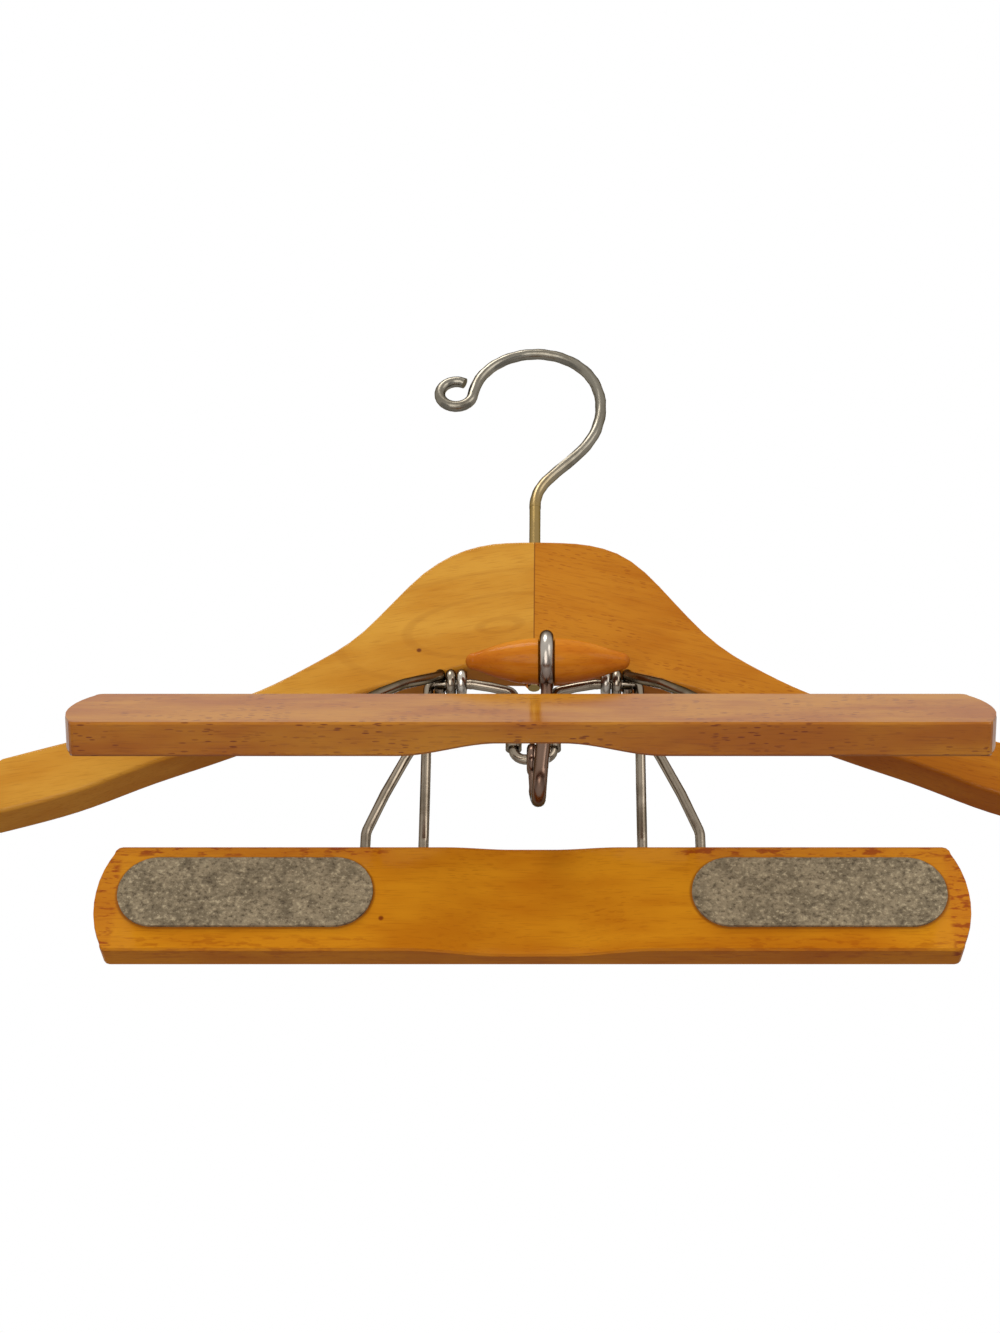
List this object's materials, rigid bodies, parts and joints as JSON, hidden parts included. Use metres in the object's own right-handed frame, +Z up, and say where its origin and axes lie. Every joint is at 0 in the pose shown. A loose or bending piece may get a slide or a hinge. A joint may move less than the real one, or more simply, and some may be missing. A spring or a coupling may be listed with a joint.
{
  "type": "trouser hanger",
  "caption": "Wooden clamp hanger for trousers: swivelling wire hook, shaped arms, felt-lined bars on a wire hinge and a toggle latch.",
  "frame": {"origin": "inside top of the hook, where it rests on a rail", "axes": "+X to the viewer's right along the bars, -Y to the front where the clamp opens, +Z up"},
  "size_m": [0.4596, 0.113, 0.3276],
  "materials": {
    "hook_wire": "bright nickel with a slightly brassy neck",
    "washer_metal": "dull nickel",
    "nut_metal": "tarnished",
    "body_wood_left": "clear varnish, honey",
    "body_wood_right": "clear varnish, amber",
    "frame_wire": "dull nickel",
    "sleeve_metal": "dull nickel",
    "latch_wire": "polished, reflecting the wood",
    "rear_bar_wood": "clear varnish, honey",
    "front_bar_wood": "clear varnish, pinkish tan",
    "toggle_wood": "clear varnish, red brown",
    "felt": "mottled grey felt"
  },
  "bodies": {
    "hook": {"hook": "hook_wire", "hook_washer": "washer_metal", "hook_nut": "nut_metal"},
    "body": {"left_arm": "body_wood_left", "right_arm": "body_wood_right", "axle_eye_left": "frame_wire", "axle_eye_right": "frame_wire"},
    "rear_clamp": {"rear_wire_left": "frame_wire", "rear_wire_right": "frame_wire", "latch_loop": "frame_wire", "sleeve_left": "sleeve_metal", "sleeve_right": "sleeve_metal", "rear_brace_left": "frame_wire", "rear_brace_right": "frame_wire", "rear_bar": "rear_bar_wood", "rear_pad_left": "felt", "rear_pad_right": "felt"},
    "front_clamp": {"front_brace_left": "frame_wire", "front_brace_right": "frame_wire", "front_bar": "front_bar_wood", "front_pad_left": "felt", "front_pad_right": "felt"},
    "latch": {"latch_lever": "latch_wire"},
    "toggle": {"toggle_handle": "toggle_wood"}
  },
  "joints": [
    {"name": "hook_swivel", "type": "hinge", "parent": "hook", "child": "body", "pos_m": [0, 0, -0.15], "axis": [0, 0, 1], "continuous": true},
    {"name": "rear_swing", "type": "hinge", "parent": "body", "child": "rear_clamp", "pos_m": [0, -0.0095, -0.19703], "axis": [-1, 0, 0], "range_deg": [-45, 25]},
    {"name": "front_swing", "type": "hinge", "parent": "rear_clamp", "child": "front_clamp", "pos_m": [0, -0.0095, -0.19703], "axis": [-1, 0, 0], "range_deg": [-42.5, 40]},
    {"name": "latch_swing", "type": "hinge", "parent": "rear_clamp", "child": "latch", "pos_m": [0, -0.0095, -0.23493], "axis": [1, 0, 0], "range_deg": [0, 115]},
    {"name": "toggle_spin", "type": "hinge", "parent": "latch", "child": "toggle", "pos_m": [0.0055, -0.0255, -0.19633], "axis": [1, 0, 0], "continuous": true}
  ]
}
